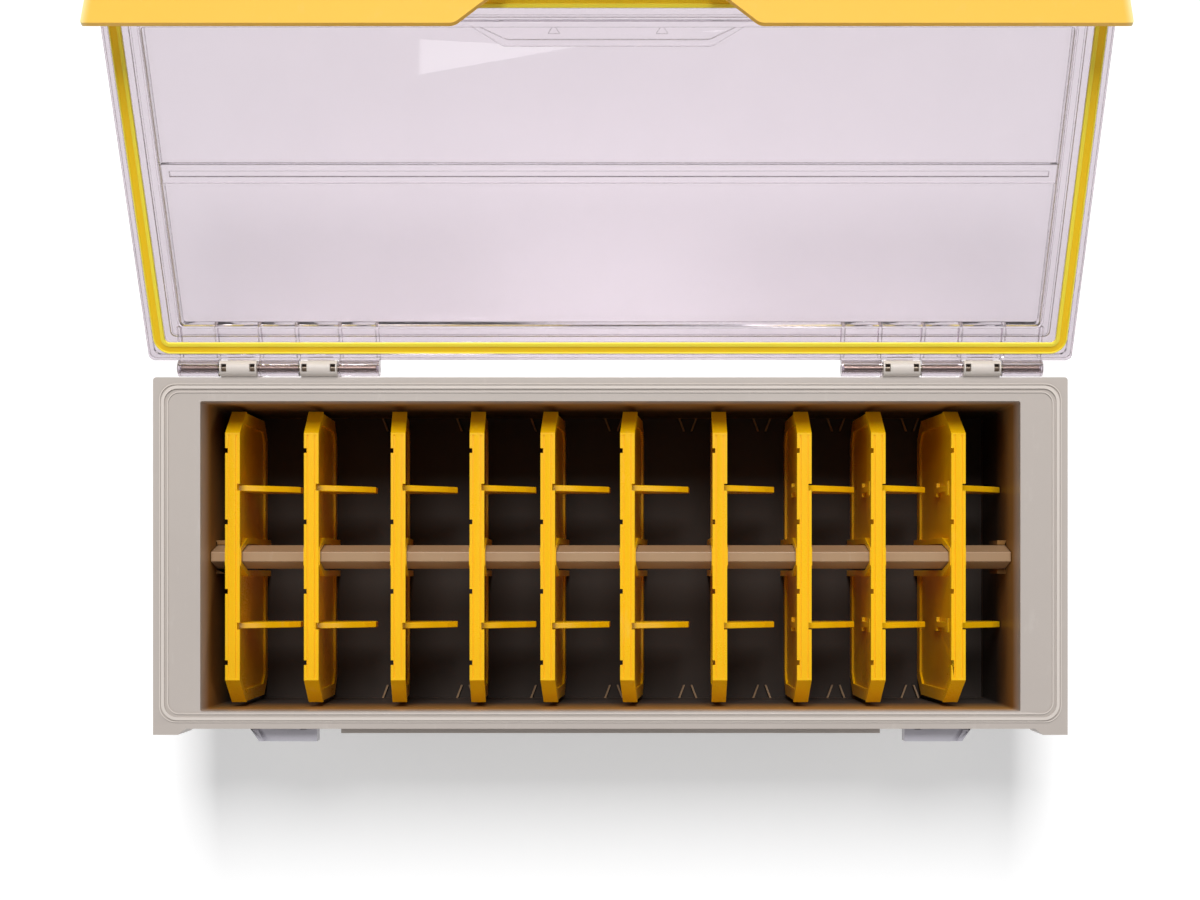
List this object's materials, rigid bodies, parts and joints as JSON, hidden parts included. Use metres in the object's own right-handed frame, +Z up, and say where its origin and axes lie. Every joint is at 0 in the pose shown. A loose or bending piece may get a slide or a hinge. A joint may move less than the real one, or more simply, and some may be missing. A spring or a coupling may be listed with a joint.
{
  "type": "fishing tackle box",
  "caption": "Long lure box with a clear hinged lid, gasket, full-width latch bar and removable yellow dividers standing over a centre rail.",
  "frame": {"origin": "middle of the base's flat underside", "axes": "+X along the box, towards the side the fins point to; +Y to the hinges; +Z up"},
  "size_m": [0.451, 0.348, 0.1981],
  "materials": {
    "shell": "fine satin moulded plastic",
    "catch": "smooth pale plastic",
    "rail": "satin tan plastic",
    "divider": "semi-gloss yellow plastic",
    "clear": "clear polished plastic",
    "gasket": "soft yellow seal",
    "latch": "satin orange-yellow plastic",
    "steel": "drawn steel wire"
  },
  "bodies": {
    "base": {"base_shell": "shell", "latch_catch_left": "catch", "latch_catch_right": "catch", "center_rail": "rail", "hinge_pin_left": "steel", "hinge_pin_right": "steel"},
    "lid": {"lid_panel": "clear", "lid_gasket": "gasket"},
    "latch_pivots": {"latch_pins": "steel"},
    "latch": {"latch_bar": "latch"},
    "divider_01": {"divider_01": "divider", "fin_01_front": "divider", "fin_01_back": "divider"},
    "divider_02": {"divider_02": "divider", "fin_02_front": "divider", "fin_02_back": "divider"},
    "divider_03": {"divider_03": "divider", "fin_03_front": "divider", "fin_03_back": "divider"},
    "divider_04": {"divider_04": "divider", "fin_04_front": "divider", "fin_04_back": "divider"},
    "divider_05": {"divider_05": "divider", "fin_05_front": "divider", "fin_05_back": "divider"},
    "divider_06": {"divider_06": "divider", "fin_06_front": "divider", "fin_06_back": "divider"},
    "divider_07": {"divider_07": "divider", "fin_07_front": "divider", "fin_07_back": "divider"},
    "divider_08": {"divider_08": "divider", "fin_08_front": "divider", "fin_08_back": "divider"},
    "divider_09": {"divider_09": "divider", "fin_09_front": "divider", "fin_09_back": "divider"},
    "divider_10": {"divider_10": "divider", "fin_10_front": "divider", "fin_10_back": "divider"}
  },
  "joints": [
    {"name": "lid_hinge", "type": "hinge", "parent": "base", "child": "lid", "pos_m": [0, 0.0898, 0.097], "axis": [-1, 0, 0], "range_deg": [-151, 0]},
    {"name": "latch_follow", "type": "hinge", "parent": "lid", "child": "latch_pivots", "pos_m": [0, 0.25007, 0.18069], "axis": [-1, 0, 0], "range_deg": [-0.5, 48.5]},
    {"name": "latch_hinge", "type": "hinge", "parent": "latch_pivots", "child": "latch", "pos_m": [0, 0.25007, 0.18069], "axis": [-1, 0, 0], "range_deg": [-12, 95]},
    {"name": "lift_01", "type": "slide", "parent": "base", "child": "divider_01", "axis": [0, 0, 1], "range_m": [0, 0.1]},
    {"name": "lift_02", "type": "slide", "parent": "base", "child": "divider_02", "axis": [0, 0, 1], "range_m": [0, 0.1]},
    {"name": "lift_03", "type": "slide", "parent": "base", "child": "divider_03", "axis": [0, 0, 1], "range_m": [0, 0.1]},
    {"name": "lift_04", "type": "slide", "parent": "base", "child": "divider_04", "axis": [0, 0, 1], "range_m": [0, 0.1]},
    {"name": "lift_05", "type": "slide", "parent": "base", "child": "divider_05", "axis": [0, 0, 1], "range_m": [0, 0.1]},
    {"name": "lift_06", "type": "slide", "parent": "base", "child": "divider_06", "axis": [0, 0, 1], "range_m": [0, 0.1]},
    {"name": "lift_07", "type": "slide", "parent": "base", "child": "divider_07", "axis": [0, 0, 1], "range_m": [0, 0.1]},
    {"name": "lift_08", "type": "slide", "parent": "base", "child": "divider_08", "axis": [0, 0, 1], "range_m": [0, 0.1]},
    {"name": "lift_09", "type": "slide", "parent": "base", "child": "divider_09", "axis": [0, 0, 1], "range_m": [0, 0.1]},
    {"name": "lift_10", "type": "slide", "parent": "base", "child": "divider_10", "axis": [0, 0, 1], "range_m": [0, 0.1]}
  ],
  "couplings": [
    {"joint": "latch_follow", "follows": "lid_hinge", "ratio": -0.31788}
  ]
}
